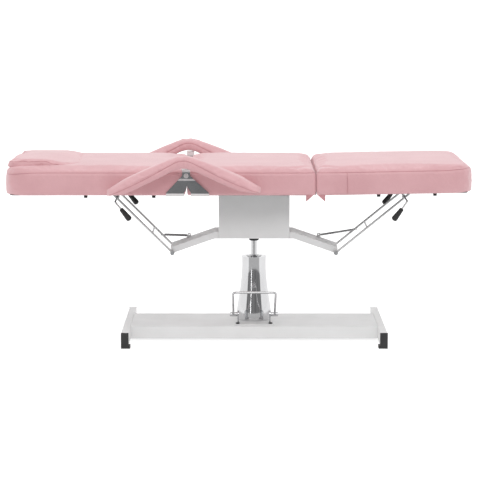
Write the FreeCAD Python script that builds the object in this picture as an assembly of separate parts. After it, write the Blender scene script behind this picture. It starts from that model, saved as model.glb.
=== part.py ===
import FreeCAD, Part
import math
import os

V = FreeCAD.Vector

# Driving dimensions, in millimetres and degrees. The origin is on the floor, under the middle of the bed.
BED_LENGTH = 1790.0
PUMP_X = 60.0              # the pump stands nearer to the foot end
BED_WIDTH = 600.0
PAD_THICK = 100.0          # board and cushion together
BOARD_THICK = 12.0
BED_Z = 600.0              # underside of the boards
SEAT_HEAD_X = -253.0       # ends of the seat, from the pump axis
SEAT_FOOT_X = 232.0
HINGE_GAP = 14.0           # between the seat and the backrest
LEG_GAP = 5.0              # between the seat and the leg rest
LEG_TILT = 1.0             # the leg rest lies a little up at the foot
PAD_EDGE_R = 20.0
PAD_FOOT_R = 10.0
PAD_CORNER_R = 85.0        # rounded ends in plan
PAD_JOINT_R = 12.0
BOARD_INSET = 4.0

BEND_RATIO = 3.0           # inner bends of the rods, in rod radii

BASE_LENGTH = 1032.0
BASE_WIDTH = 550.0
TUBE_W = 30.0
TUBE_H = 50.0
TUBE_WALL = 2.0
TUBE_EDGE_R = 4.0
FOOT_CLEAR = 12.0          # the tubes ride this far above the floor
BEAM_W = 280.0
CAP_WALL = 5.0
CAP_FOOT_D = 34.0
CAP_PLUG = 20.0

PLATE_W = 158.0
PLATE_D = 256.0
PLATE_MARGIN = 14.0
PLATE_THICK = 5.0
COVER_TOP_R = 49.0
COVER_WAIST_R = 55.0
COVER_FOOT_R = 69.0
COVER_H = 255.0
COVER_WAIST_H = 118.0
COVER_WALL = 1.5
COVER_SKIRT = 2.0          # narrowing above the foot
COVER_FLARE = 5.0          # flare below the waist
CYLINDER_R = 30.0
CYLINDER_WALL = 5.0
CYLINDER_HEAD = 10.0       # room above the cylinder, under the cover
GUIDE_LIP_R = 19.0
GUIDE_GAP = 1.0            # guide to the hole in the cover
GUIDE_LIP_BASE = 3.0       # lip of the rod guide, above the cover
GUIDE_LIP_TOP = 5.0
ROD_GRIP = 30.0            # rod left in the guide at full height
PISTON_H = 12.0
PLATE_BOLT_R = 4.0
PLATE_BOLT_HEAD = 5.0
HEX_RATIO = 1.9            # hexagon corners, in shank radii
ROD_R = 13.0
ROD_RISE = 62.5            # bare rod at rest
LIFT_UP = 100.0
FIT = 0.05                 # radial clearance of a running fit

WASHER_R = 19.0
WASHER_H = 15.5
BOX_LENGTH = 280.0
BOX_WIDTH = 140.0
BOX_WALL = 3.0
ARM_H = 26.0
ARM_REACH = 322.0          # strut pivots, from the pump axis
STRUT_PIVOT_Z = 347.0
ARM_FLAT = 16.0            # level run of an arm at the box
ARM_TIP = 8.0              # arm past and below its pivot
SOCKET_R = 24.0
SOCKET_DEPTH = 70.0

BOLT_DROP = 12.0           # backrest pivot, below the seam of the cushions
SEAM_DROP = 12.0           # seam, below the top of the cushions
BRACKET_THICK = 3.0
BRACKET_SIDE_GAP = 2.5
BRACKET_HEAD_R = 15.0
BRACKET_FOOT_W = 69.0
BRACKET_LEAN = 13.0
BACK_PLATE_GAP = 8.0       # foot of each plate, from the pivot
SEAT_PLATE_GAP = 18.0
SHELF_SHARE = 0.7          # of the armrest's waist
FLANGE_D = 45.0
BOLT_R = 5.0
BOLT_HEAD_R = 9.0
BOLT_HEAD = 5.0
BOLT_NUT_R = 8.0
BOLT_NUT = 1.5
BOLT_END = 2.0
SCREW_R = 5.0
SCREW_HEAD = 2.5
SCREW_INSET = 18.0         # from the boards' sides
SCREW_SHARES = (0.2, 0.8)  # along a flange

ARMREST_THICK = 50.0
ARMREST_BOARD = 10.0
ARMREST_RISE = 107.0       # underside of the apex, above the boards' underside
ARMREST_HALF = 292.0
ARMREST_W = 102.0
ARMREST_WAIST = 84.0
ARMREST_TIP = 40.0
ARMREST_GAP = 14.0         # armrest to cushion
WING_SLOPE_HEAD = 27.0
WING_SLOPE_FOOT = 24.0
APEX_R = 150.0
WIDEST_SHARE = 0.62        # where each wing is widest
ARMREST_SEAT = 2.0         # from the gap to the armrest's inner side
SHELF_GAP = 1.0            # shelf to the armrest's underside

STRUT_R = 4.5
STRUT_SPREAD = 90.0
STRUT_TOP_DROP = 18.0      # strut's top bar, below the boards
HEAD_STRUT_ANGLE = 45.0
FOOT_STRUT_ANGLE = 39.2
HEAD_CROSS = 110.0         # stiffener, from the strut pivot
FOOT_CROSS = 158.0
HEAD_HOOK = 70.0           # spring stub, from the strut pivot
FOOT_HOOK = 115.0
SPRING_Y = 62.0
RELEASE_R = 3.5
RELEASE_BACK = 25.0
RELEASE_SIDE = 6.0
RELEASE_SPREAD = 250.0
LEVER_LENGTH = 84.0
HEAD_LEVER_ANGLE = -51.0
FOOT_LEVER_ANGLE = -125.0
GRIP_R = 10.0
GRIP_NECK_R = 6.5
GRIP_LENGTH = 50.0
RAIL_H = 12.0
RAIL_W = 4.0
RAIL_SPREAD = 45.0
HEAD_RAIL = (60.0, 350.0)  # from the backrest pivot
FOOT_RAIL = (335.0, 590.0) # from the leg-rest hinge
NOTCH_PITCH = 24.0
NOTCH_R = 4.0
SPRING_R = 5.0
STUB_R = 3.0
HOOK_R = 1.2
SPRING_GAP = 7.0
STUB_END = 4.0             # the stub reaches past the spring's middle
EYE_RISE = 8.0
EYE_FOOT = 9.0
EYE_HEAD = 6.0
EYE_HOLE_R = 2.5
PIN_END = 12.0             # strut pin past the strut
PIN_HEAD = 3.0
LUG_WALL = 4.0
LUG_HALF = 2.0
SLEEVE_END = 2.0
BUMPER_R = 7.0
BUMPER_H = 12.0
BUMPER_INSET = 25.0        # from the boards' sides
BACK_BUMPERS = (125.0, 385.0)   # from the backrest pivot
LEG_BUMPERS = (240.0, 455.0)    # from the leg-rest hinge
HINGE_R = 5.0
HINGE_LEAF = 32.0
HINGE_THICK = 2.5
KNUCKLE = 18.0
HINGE_SHARE = 0.6          # of the half width
HINGE_ROOM = 1.0           # leaf to the next knuckle
EYE_BACK = 62.0            # spring eye, from the strut pivot towards the pump

PEDAL_R = 4.5
PEDAL_HALF = 82.0
PEDAL_REACH = 215.0
PEDAL_RISE = 125.0
PEDAL_Y = -88.0
PEDAL_Z = 100.0
EAR_THICK = 5.0
EAR_HALF = 60.0
EAR_R = 16.0
PEDAL_PIN_HEAD = 3.0
PIN_R = 5.0
COLLAR_R = 8.5
COLLAR_W = 26.0

PILLOW_LENGTH = 282.0
PILLOW_W = 500.0
PILLOW_THICK = 44.0
PILLOW_TAIL = 24.0
PILLOW_EDGE = 6.0          # pillow to the head end
REST_GAP = 0.5             # between soft faces that slide

HEAD_X = -BED_LENGTH / 2
FOOT_X = BED_LENGTH / 2
HALF = BED_WIDTH / 2
TOP_Z = BED_Z + PAD_THICK
TUBE_TOP = FOOT_CLEAR + TUBE_H
PLATE_TOP = TUBE_TOP + PLATE_THICK
COVER_TOP = PLATE_TOP + COVER_H
WASHER_BASE = COVER_TOP + ROD_RISE
BOX_BASE = WASHER_BASE + WASHER_H
SEAT_X0 = PUMP_X + SEAT_HEAD_X
SEAT_X1 = PUMP_X + SEAT_FOOT_X
BACK_X1 = SEAT_X0 - HINGE_GAP
LEG_X0 = SEAT_X1 + LEG_GAP
BACK_PIVOT = V(SEAT_X0 - HINGE_GAP / 2, 0, TOP_Z - SEAM_DROP - BOLT_DROP)
LEG_PIVOT = V(SEAT_X1 + LEG_GAP / 2, 0, BED_Z)
SIDES = ((-1, "near"), (1, "far"))
Y_AXIS = V(0, 1, 0)
BACK_PLATE_Y = HALF + BRACKET_SIDE_GAP
SEAT_PLATE_Y = BACK_PLATE_Y + BRACKET_THICK + REST_GAP
BACK_PLATE_X = BACK_PIVOT.x - BACK_PLATE_GAP - BRACKET_FOOT_W
SEAT_PLATE_X = BACK_PIVOT.x + SEAT_PLATE_GAP + BRACKET_FOOT_W
ARMREST_Y = HALF + ARMREST_GAP + ARMREST_SEAT
ARMREST_BASE = BED_Z + ARMREST_RISE
CYLINDER_TOP = COVER_TOP - CYLINDER_HEAD
ARM_LOW = STRUT_PIVOT_Z - ARM_TIP


def box(x0, x1, y0, y1, z0, z1):
    low = V(min(x0, x1), min(y0, y1), min(z0, z1))
    return Part.makeBox(abs(x1 - x0), abs(y1 - y0), abs(z1 - z0), low)


def rod(a, b, r):
    return Part.makeCylinder(r, (b - a).Length, a, b - a)


def bent_rod(points, r):
    """A round rod through the points, bent on an even radius at each inner point."""
    edges = []
    start = points[0]
    for before, corner, after in zip(points, points[1:], points[2:]):
        to_before = (before - corner).normalize()
        to_after = (after - corner).normalize()
        half = to_before.getAngle(to_after) / 2
        reach = BEND_RATIO * r / math.tan(half)
        centre_line = (to_before + to_after).normalize()
        middle = corner + centre_line * (BEND_RATIO * r / math.sin(half) - BEND_RATIO * r)
        edges.append(Part.LineSegment(start, corner + to_before * reach).toShape())
        start = corner + to_after * reach
        edges.append(Part.Arc(corner + to_before * reach, middle, start).toShape())
    edges.append(Part.LineSegment(start, points[-1]).toShape())
    path = Part.Wire(edges)
    section = Part.Wire(Part.makeCircle(r, points[0], points[1] - points[0]))
    return path.makePipeShell([section], True, False)


def across(x, z, r, half):
    """A round bar along Y."""
    return rod(V(x, -half, z), V(x, half, z), r)


def prism(points, y0, y1):
    """An outline in the XZ plane, made solid from y0 to y1."""
    outline = [V(x, y0, z) for x, z in points]
    face = Part.Face(Part.makePolygon(outline + outline[:1]))
    return face.extrude(V(0, y1 - y0, 0))


def group(solids):
    return Part.makeCompound(solids)


def turned(shape, pivot, degrees):
    copy = shape.copy()
    copy.rotate(pivot, Y_AXIS, degrees)
    return copy


def save(name, shape):
    shape.exportStep("parts/" + name + ".step")


def slab(x0, x1, half, z0, z1, radii):
    """A flat solid with its own corner radius at each end."""
    solid = box(x0, x1, -half, half, z0, z1)
    for end, r in zip((x0, x1), radii):
        upright = [
            e for e in solid.Edges
            if abs(e.BoundBox.ZLength - (z1 - z0)) < 1e-6 and abs(e.BoundBox.XMin - end) < 1e-6
        ]
        solid = solid.makeFillet(r, upright)
    return solid


def rounded(solid, r, axis):
    """The long outer edges of a box, rounded along one axis."""
    lengths = {"x": "XLength", "y": "YLength", "z": "ZLength"}
    longest = getattr(solid.BoundBox, lengths[axis])
    return solid.makeFillet(r, [e for e in solid.Edges if abs(e.Length - longest) < 1e-6])


def rim(solid, z):
    return [e for e in solid.Edges if e.BoundBox.ZLength < 1e-6 and abs(e.BoundBox.ZMin - z) < 1e-6]


def cushion(x0, x1, radii):
    z0 = BED_Z + BOARD_THICK
    solid = slab(x0, x1, HALF, z0, TOP_Z, radii)
    solid = solid.makeFillet(PAD_EDGE_R, rim(solid, TOP_Z))
    return solid.makeFillet(PAD_FOOT_R, rim(solid, z0))


def board(x0, x1, radii):
    return slab(
        x0 + BOARD_INSET, x1 - BOARD_INSET, HALF - BOARD_INSET,
        BED_Z, BED_Z + BOARD_THICK, [r - BOARD_INSET for r in radii],
    )


def make_pads():
    tilt = -LEG_TILT
    save("seat_board", board(SEAT_X0, SEAT_X1, (PAD_JOINT_R, PAD_JOINT_R)))
    save("seat_cushion", cushion(SEAT_X0, SEAT_X1, (PAD_JOINT_R, PAD_JOINT_R)))
    save("backrest_board", board(HEAD_X, BACK_X1, (PAD_CORNER_R, PAD_JOINT_R)))
    save("backrest_cushion", cushion(HEAD_X, BACK_X1, (PAD_CORNER_R, PAD_JOINT_R)))
    save("leg_rest_board", turned(board(LEG_X0, FOOT_X, (PAD_JOINT_R, PAD_CORNER_R)), LEG_PIVOT, tilt))
    save("leg_rest_cushion", turned(cushion(LEG_X0, FOOT_X, (PAD_JOINT_R, PAD_CORNER_R)), LEG_PIVOT, tilt))


def make_pillow():
    x0 = HEAD_X + PILLOW_EDGE
    x1 = x0 + PILLOW_LENGTH
    z0 = TOP_Z + REST_GAP
    profile = [(x0, z0), (x1, z0), (x1, z0 + PILLOW_TAIL), (x0, z0 + PILLOW_THICK)]
    solid = prism(profile, -PILLOW_W / 2, PILLOW_W / 2)
    upright = [e for e in solid.Edges if e.BoundBox.XLength < 1e-6 and e.BoundBox.YLength < 1e-6]
    save("pillow", solid.makeFillet(PAD_EDGE_R, upright))


def make_base():
    half_x = BASE_LENGTH / 2
    inner_x = half_x - TUBE_W
    beam = box(PUMP_X - inner_x, PUMP_X + inner_x, -BEAM_W / 2, BEAM_W / 2, FOOT_CLEAR, TUBE_TOP)
    hollow = box(
        PUMP_X - inner_x, PUMP_X + inner_x, TUBE_WALL - BEAM_W / 2, BEAM_W / 2 - TUBE_WALL,
        FOOT_CLEAR + TUBE_WALL, TUBE_TOP - TUBE_WALL,
    )
    save("base_beam", rounded(beam, TUBE_EDGE_R, "x").cut(hollow))
    for way, end in ((-1, "head"), (1, "foot")):
        outer = PUMP_X + way * half_x
        inner = PUMP_X + way * inner_x
        tube = box(outer, inner, -BASE_WIDTH / 2, BASE_WIDTH / 2, FOOT_CLEAR, TUBE_TOP)
        bore = box(
            outer - way * TUBE_WALL, inner + way * TUBE_WALL, -BASE_WIDTH / 2, BASE_WIDTH / 2,
            FOOT_CLEAR + TUBE_WALL, TUBE_TOP - TUBE_WALL,
        )
        save("cross_tube_" + end, rounded(tube, TUBE_EDGE_R, "y").cut(bore))
        for side, name in SIDES:
            save("end_cap_" + end + "_" + name, end_cap(outer, inner, way, side))


def end_cap(outer, inner, way, side):
    """A cap over the tube's end, with a plug inside it and a foot turned under it."""
    end = side * BASE_WIDTH / 2
    cap = box(outer, inner, end, end + side * CAP_WALL, FOOT_CLEAR, TUBE_TOP)
    plug = box(
        outer - way * (TUBE_WALL + FIT), inner + way * (TUBE_WALL + FIT), end - side * CAP_PLUG, end,
        FOOT_CLEAR + TUBE_WALL + FIT, TUBE_TOP - TUBE_WALL - FIT,
    )
    foot = box(outer, inner - way * CAP_WALL, end - side * CAP_FOOT_D, end + side * CAP_WALL, 0, FOOT_CLEAR)
    solid = cap.fuse(foot).removeSplitter()
    outside = end + side * CAP_WALL
    face_edges = [
        e for e in solid.Edges
        if abs(e.BoundBox.YMin - outside) < 1e-6 and e.BoundBox.YLength < 1e-6
    ]
    return solid.makeFillet(CAP_WALL / 2, face_edges).fuse(plug)


def cover_profile(shrink):
    """The pump cover's side, from its foot to its top, moved in by the wall."""
    return [
        (COVER_FOOT_R - shrink, PLATE_TOP),
        (COVER_FOOT_R - shrink - COVER_SKIRT, PLATE_TOP + COVER_WAIST_H * 0.4),
        (COVER_WAIST_R - shrink + COVER_FLARE, PLATE_TOP + COVER_WAIST_H * 0.8),
        (COVER_WAIST_R - shrink, PLATE_TOP + COVER_WAIST_H * 1.1),
        (COVER_TOP_R - shrink, COVER_TOP - shrink),
    ]


def turned_solid(profile):
    """A smooth side through radii and heights, spun round the pump axis."""
    side = [V(PUMP_X + r, 0, z) for r, z in profile]
    curve = Part.BSplineCurve()
    curve.interpolate(side)
    low = V(PUMP_X, 0, side[0].z)
    high = V(PUMP_X, 0, side[-1].z)
    edges = [
        Part.LineSegment(low, side[0]).toShape(), curve.toShape(),
        Part.LineSegment(side[-1], high).toShape(), Part.LineSegment(high, low).toShape(),
    ]
    return Part.Face(Part.Wire(edges)).revolve(V(PUMP_X, 0, 0), V(0, 0, 1), 360)


def upright(r, z0, z1):
    return Part.makeCylinder(r, z1 - z0, V(PUMP_X, 0, z0))


def plate_bolt_places():
    x = PLATE_W / 2 - PLATE_MARGIN
    y = PLATE_D / 2 - PLATE_MARGIN
    return [V(PUMP_X + sx * x, sy * y, PLATE_TOP) for sx in (-1, 1) for sy in (-1, 1)]


def hex_bolt(place, down, head_h, r):
    """A hexagon head on a shank, head upwards."""
    corner = r * HEX_RATIO
    outline = [
        place + V(corner * math.cos(math.radians(60 * i)), corner * math.sin(math.radians(60 * i)), 0)
        for i in range(6)
    ]
    head = Part.Face(Part.makePolygon(outline + outline[:1])).extrude(V(0, 0, head_h))
    shank = Part.makeCylinder(r, down, place - V(0, 0, down))
    return head.fuse(shank)


def make_pump():
    plate = box(
        PUMP_X - PLATE_W / 2, PUMP_X + PLATE_W / 2, -PLATE_D / 2, PLATE_D / 2, TUBE_TOP, PLATE_TOP,
    )
    for place in plate_bolt_places():
        plate = plate.cut(Part.makeCylinder(PLATE_BOLT_R + FIT, PLATE_THICK, place - V(0, 0, PLATE_THICK)))
    save("pump_plate", plate)
    bolts = [hex_bolt(p, PLATE_THICK, PLATE_BOLT_HEAD, PLATE_BOLT_R) for p in plate_bolt_places()]
    save("pump_plate_bolts", group(bolts))
    floor = PLATE_TOP + CYLINDER_WALL
    tube = upright(CYLINDER_R, PLATE_TOP, CYLINDER_TOP)
    save("pump_cylinder", tube.cut(upright(CYLINDER_R - CYLINDER_WALL, floor, CYLINDER_TOP)))
    lip_base = COVER_TOP + GUIDE_LIP_BASE
    lip_top = COVER_TOP + GUIDE_LIP_TOP
    guide = upright(CYLINDER_R - GUIDE_GAP, CYLINDER_TOP, lip_base)
    guide = guide.fuse(upright(GUIDE_LIP_R, lip_base, lip_top))
    save("rod_guide", guide.cut(upright(ROD_R + FIT, CYLINDER_TOP, lip_top)))
    shell = turned_solid(cover_profile(0)).cut(turned_solid(cover_profile(COVER_WALL)))
    save("pump_cover", shell.cut(upright(CYLINDER_R, COVER_TOP - CYLINDER_WALL, COVER_TOP + COVER_WALL)))


def make_lift():
    top = BOX_BASE + SOCKET_DEPTH - CYLINDER_WALL
    low = CYLINDER_TOP - LIFT_UP - ROD_GRIP
    save("piston_rod", upright(ROD_R, low, top))
    piston = upright(CYLINDER_R - CYLINDER_WALL - FIT, low - PISTON_H, low)
    save("piston", piston)


def make_pedal():
    ears = []
    pins = []
    for side in (-1, 1):
        x0 = PUMP_X + side * EAR_HALF
        x1 = x0 + side * EAR_THICK
        plate = box(x0, x1, PEDAL_Y - EAR_R, PEDAL_Y + EAR_R, PLATE_TOP, PEDAL_Z)
        eye = rod(V(x0, PEDAL_Y, PEDAL_Z), V(x1, PEDAL_Y, PEDAL_Z), EAR_R)
        ear = plate.fuse(eye)
        ears.append(ear.cut(rod(V(x0, PEDAL_Y, PEDAL_Z), V(x1, PEDAL_Y, PEDAL_Z), PIN_R)))
        tip = x1 + side * (COLLAR_W + REST_GAP * 2)
        pin = rod(V(x0, PEDAL_Y, PEDAL_Z), V(tip, PEDAL_Y, PEDAL_Z), PIN_R)
        head = rod(V(tip, PEDAL_Y, PEDAL_Z), V(tip + side * PEDAL_PIN_HEAD, PEDAL_Y, PEDAL_Z), COLLAR_R)
        pins.append(pin.fuse(head))
    save("pedal_ears", group(ears))
    save("pedal_pins", group(pins))
    save("pedal", pedal_rod())


def pedal_rod():
    top_y = PEDAL_Y - PEDAL_REACH
    top_z = PEDAL_Z + PEDAL_RISE
    points = []
    for side in (-1, 1):
        low = V(PUMP_X + side * PEDAL_HALF, PEDAL_Y, PEDAL_Z)
        high = V(PUMP_X + side * PEDAL_HALF, top_y, top_z)
        points += [low, high] if side < 0 else [high, low]
    solid = bent_rod(points, PEDAL_R)
    for side in (-1, 1):
        x0 = PUMP_X + side * (EAR_HALF + EAR_THICK + REST_GAP)
        x1 = x0 + side * COLLAR_W
        a = V(x0, PEDAL_Y, PEDAL_Z)
        b = V(x1, PEDAL_Y, PEDAL_Z)
        solid = solid.fuse(rod(a, b, COLLAR_R)).cut(rod(a, b, PIN_R + FIT))
    return solid


def make_carriage():
    half_l = BOX_LENGTH / 2
    half_w = BOX_WIDTH / 2
    washer = upright(WASHER_R, WASHER_BASE, BOX_BASE)
    save("rubber_washer", washer.cut(upright(ROD_R + FIT, WASHER_BASE, BOX_BASE)))
    shell = box(PUMP_X - half_l, PUMP_X + half_l, -half_w, half_w, BOX_BASE, BED_Z)
    inside = box(
        PUMP_X - half_l + BOX_WALL, PUMP_X + half_l - BOX_WALL, BOX_WALL - half_w, half_w - BOX_WALL,
        BOX_BASE + BOX_WALL, BED_Z - BOX_WALL,
    )
    rod_hole = upright(ROD_R + FIT, BOX_BASE, BOX_BASE + BOX_WALL)
    save("support_box", rounded(shell, TUBE_EDGE_R, "z").cut(inside).cut(rod_hole))
    socket = upright(SOCKET_R, BOX_BASE + BOX_WALL, BOX_BASE + SOCKET_DEPTH)
    bore = upright(ROD_R + FIT, BOX_BASE + BOX_WALL, BOX_BASE + SOCKET_DEPTH - CYLINDER_WALL)
    save("rod_socket", socket.cut(bore))
    for way, end in ((-1, "head"), (1, "foot")):
        save("strut_arm_" + end, strut_arm(way))
    save("strut_pins", group([strut_pin(way) for way in (-1, 1)]))
    save("spring_eyes", group([spring_eye(way) for way in (-1, 1)]))


def strut_arm(way):
    """A channel, open below, from the box down to the strut's pivot."""
    half_w = BOX_WIDTH / 2
    start = PUMP_X + way * BOX_LENGTH / 2
    tip = PUMP_X + way * ARM_REACH
    bend = start + way * ARM_FLAT
    outline = [
        (start, BOX_BASE), (bend, BOX_BASE), (tip + way * ARM_TIP, ARM_LOW),
        (tip + way * ARM_TIP, ARM_LOW + ARM_H), (bend, BOX_BASE + ARM_H), (start, BOX_BASE + ARM_H),
    ]
    solid = prism(outline, -half_w, half_w)
    under = [(x, z - BOX_WALL) for x, z in outline]
    under[0] = (start, BOX_BASE - BOX_WALL * 2)
    under[1] = (bend, BOX_BASE - BOX_WALL * 2)
    under[2] = (tip + way * (ARM_TIP + 1), ARM_LOW - BOX_WALL * 2)
    under[3] = (tip + way * (ARM_TIP + 1), ARM_LOW + ARM_H - BOX_WALL)
    solid = solid.cut(prism(under, BOX_WALL - half_w, half_w - BOX_WALL))
    return solid.cut(across(tip, STRUT_PIVOT_Z, PIN_R, half_w + 1))


def strut_pin(way):
    tip = PUMP_X + way * ARM_REACH
    reach = STRUT_SPREAD + PIN_END
    pin = across(tip, STRUT_PIVOT_Z, PIN_R, reach)
    for side in (-1, 1):
        end = V(tip, side * reach, STRUT_PIVOT_Z)
        pin = pin.fuse(rod(end, end + V(0, side * PIN_HEAD, 0), PIN_R + PIN_HEAD))
    return pin


def eye_place(way):
    """Where the spring hooks on the arm: a little above its top face."""
    x = PUMP_X + way * (ARM_REACH - EYE_BACK)
    start = BOX_LENGTH / 2 + ARM_FLAT
    run = ARM_REACH + ARM_TIP - start
    share = (ARM_REACH - EYE_BACK - start) / run
    top = BOX_BASE + ARM_H + (ARM_LOW - BOX_BASE) * share
    return V(x, SPRING_Y, top + EYE_RISE), top


def spring_eye(way):
    """A small ear on the arm's top face, with a hole for the spring's hook."""
    place, top = eye_place(way)
    plate = prism([
        (place.x - EYE_FOOT, top - EYE_HEAD), (place.x + EYE_FOOT, top - EYE_HEAD),
        (place.x + EYE_HEAD, place.z + EYE_HEAD), (place.x - EYE_HEAD, place.z + EYE_HEAD),
    ], SPRING_Y - EAR_THICK / 2, SPRING_Y + EAR_THICK / 2)
    plate = plate.cut(strut_arm(way)).cut(across(place.x, place.z, EYE_HOLE_R, BOX_WIDTH))
    return max(plate.Solids, key=lambda s: s.BoundBox.ZMax)


def bracket_plate(foot_x, lean, side, inner, low):
    """A leaning plate from under a board up to the backrest pivot, eye included."""
    y0 = side * inner
    y1 = side * (inner + BRACKET_THICK)
    pivot = BACK_PIVOT
    outline = [
        (foot_x, low), (foot_x + lean * BRACKET_FOOT_W, low),
        (foot_x + lean * BRACKET_FOOT_W, low + BRACKET_LEAN),
        (pivot.x + lean * BRACKET_HEAD_R, pivot.z - BRACKET_HEAD_R / 2), (pivot.x, pivot.z + BRACKET_HEAD_R),
        (pivot.x - lean * BRACKET_HEAD_R, pivot.z), (foot_x, low + BRACKET_LEAN),
    ]
    plate = prism(outline, y0, y1)
    eye = rod(V(pivot.x, y0, pivot.z), V(pivot.x, y1, pivot.z), BRACKET_HEAD_R)
    return plate.fuse(eye)


def bolt_hole(side, inner, r):
    return rod(
        V(BACK_PIVOT.x, side * (inner - 1), BACK_PIVOT.z),
        V(BACK_PIVOT.x, side * (inner + BRACKET_THICK + 1), BACK_PIVOT.z), r,
    )


def back_bracket(side):
    low = BED_Z - BRACKET_THICK
    plate = bracket_plate(BACK_PLATE_X, 1, side, BACK_PLATE_Y, low)
    outer = side * (BACK_PLATE_Y + BRACKET_THICK)
    flange = box(
        BACK_PLATE_X, BACK_PLATE_X + BRACKET_FOOT_W, outer - side * FLANGE_D, outer, low, BED_Z,
    )
    return plate.fuse(flange).cut(bolt_hole(side, BACK_PLATE_Y, BOLT_R + FIT))


def seat_bracket(side):
    """The plate under the seat, with the upright that carries the armrest."""
    low = BED_Z - BRACKET_THICK
    plate = bracket_plate(SEAT_PLATE_X, -1, side, SEAT_PLATE_Y, low)
    inner = side * SEAT_PLATE_Y
    outer = side * (SEAT_PLATE_Y + BRACKET_THICK)
    flange = box(
        SEAT_PLATE_X - BRACKET_FOOT_W, SEAT_PLATE_X, outer - side * FLANGE_D, outer, low, BED_Z,
    )
    half = BRACKET_HEAD_R
    top = ARMREST_BASE - SHELF_GAP
    upright_plate = box(
        BACK_PIVOT.x - half, BACK_PIVOT.x + half, inner, outer, BACK_PIVOT.z, top,
    )
    shelf = box(
        BACK_PIVOT.x - half, BACK_PIVOT.x + half, inner, side * (ARMREST_Y + ARMREST_WAIST * SHELF_SHARE),
        top - BRACKET_THICK, top,
    )
    solid = plate.fuse(flange).fuse(upright_plate).fuse(shelf)
    return solid.cut(bolt_hole(side, SEAT_PLATE_Y, BOLT_R))


def pivot_bolt(side):
    """The bolt that joins both brackets, with a round head outside and a flat nut inside."""
    inner = side * (BACK_PLATE_Y - BOLT_END)
    outer = side * (SEAT_PLATE_Y + BRACKET_THICK)
    x, z = BACK_PIVOT.x, BACK_PIVOT.z
    shank = rod(V(x, inner, z), V(x, outer, z), BOLT_R)
    head = rod(V(x, outer, z), V(x, outer + side * BOLT_HEAD, z), BOLT_HEAD_R)
    nut = rod(V(x, inner, z), V(x, inner + side * BOLT_NUT, z), BOLT_NUT_R)
    return shank.fuse(head).fuse(nut)


def flange_screws(foot_x, way, side):
    """Two pan-head screws up through a flange."""
    low = BED_Z - BRACKET_THICK - SCREW_HEAD
    y = side * (HALF - SCREW_INSET)
    places = [V(foot_x + way * BRACKET_FOOT_W * share, y, low) for share in SCREW_SHARES]
    return [Part.makeCylinder(SCREW_R, SCREW_HEAD, place) for place in places]


def vee_line(offset):
    """The armrest's underside moved up by an offset: two slopes joined by an arc at the apex."""
    x0 = BACK_PIVOT.x
    r = APEX_R + offset
    middle = ARMREST_BASE - APEX_R
    head = math.radians(WING_SLOPE_HEAD)
    foot = math.radians(WING_SLOPE_FOOT)
    a = V(x0 - r * math.sin(head), 0, middle + r * math.cos(head))
    b = V(x0 + r * math.sin(foot), 0, middle + r * math.cos(foot))
    apex = V(x0, 0, middle + r)
    tip_a = V(x0 - ARMREST_HALF, 0, a.z - (a.x - x0 + ARMREST_HALF) * math.tan(head))
    tip_b = V(x0 + ARMREST_HALF, 0, b.z - (x0 + ARMREST_HALF - b.x) * math.tan(foot))
    return tip_a, a, apex, b, tip_b


def vee_solid(low, high):
    """The armrest's side outline between two offsets, extruded across its width."""
    under = vee_line(low)
    over = vee_line(high)
    edges = [
        Part.LineSegment(under[0], under[1]).toShape(),
        Part.Arc(under[1], under[2], under[3]).toShape(),
        Part.LineSegment(under[3], under[4]).toShape(),
        Part.LineSegment(under[4], over[4]).toShape(),
        Part.LineSegment(over[4], over[3]).toShape(),
        Part.Arc(over[3], over[2], over[1]).toShape(),
        Part.LineSegment(over[1], over[0]).toShape(),
        Part.LineSegment(over[0], under[0]).toShape(),
    ]
    return Part.Face(Part.Wire(edges)).extrude(V(0, HALF * 2, 0))


def leaf_plan(inset):
    """The armrest seen from above: straight inside, two leaves outside, narrow at both tips."""
    x0 = BACK_PIVOT.x
    reach = ARMREST_HALF - inset
    inner = ARMREST_Y + inset
    widths = (
        (-1.0, ARMREST_TIP), (-WIDEST_SHARE, ARMREST_W), (0.0, ARMREST_WAIST),
        (WIDEST_SHARE, ARMREST_W), (1.0, ARMREST_TIP),
    )
    outer = [V(x0 + share * reach, ARMREST_Y + width - inset, 0) for share, width in widths]
    curve = Part.BSplineCurve()
    curve.interpolate(outer)
    tip_in = V(x0 + reach, inner, 0)
    head_in = V(x0 - reach, inner, 0)
    edges = [
        curve.toShape(),
        Part.LineSegment(outer[-1], tip_in).toShape(),
        Part.LineSegment(tip_in, head_in).toShape(),
        Part.LineSegment(head_in, outer[0]).toShape(),
    ]
    face = Part.Face(Part.Wire(edges))
    return face.extrude(V(0, 0, TOP_Z * 2))


def armrest_layer(low, high, inset, side):
    solid = vee_solid(low, high).common(leaf_plan(inset))
    return solid if side > 0 else solid.mirror(V(0, 0, 0), Y_AXIS)


def make_arms():
    for side, name in SIDES:
        save("seat_bracket_" + name, seat_bracket(side))
        save("backrest_bracket_" + name, back_bracket(side))
        save("armrest_board_" + name, armrest_layer(0, ARMREST_BOARD, BOARD_INSET, side))
        save("armrest_pad_" + name, armrest_layer(ARMREST_BOARD, ARMREST_THICK, 0, side))
    save("backrest_pivot_bolts", group([pivot_bolt(side) for side, name in SIDES]))
    save("seat_bracket_screws", group(sum([flange_screws(SEAT_PLATE_X, -1, s) for s, n in SIDES], [])))
    save("backrest_bracket_screws", group(sum([flange_screws(BACK_PLATE_X, 1, s) for s, n in SIDES], [])))


def strut_vector(way, angle):
    """Along a strut, from its pivot to its top bar, and its length."""
    rise = BED_Z - STRUT_TOP_DROP - STRUT_PIVOT_Z
    run = rise / math.tan(math.radians(angle))
    return V(way * run, 0, rise)


def strut_foot(way):
    return V(PUMP_X + way * ARM_REACH, 0, STRUT_PIVOT_Z)


def strut_point(way, angle, distance):
    return strut_vector(way, angle).normalize() * distance


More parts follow.
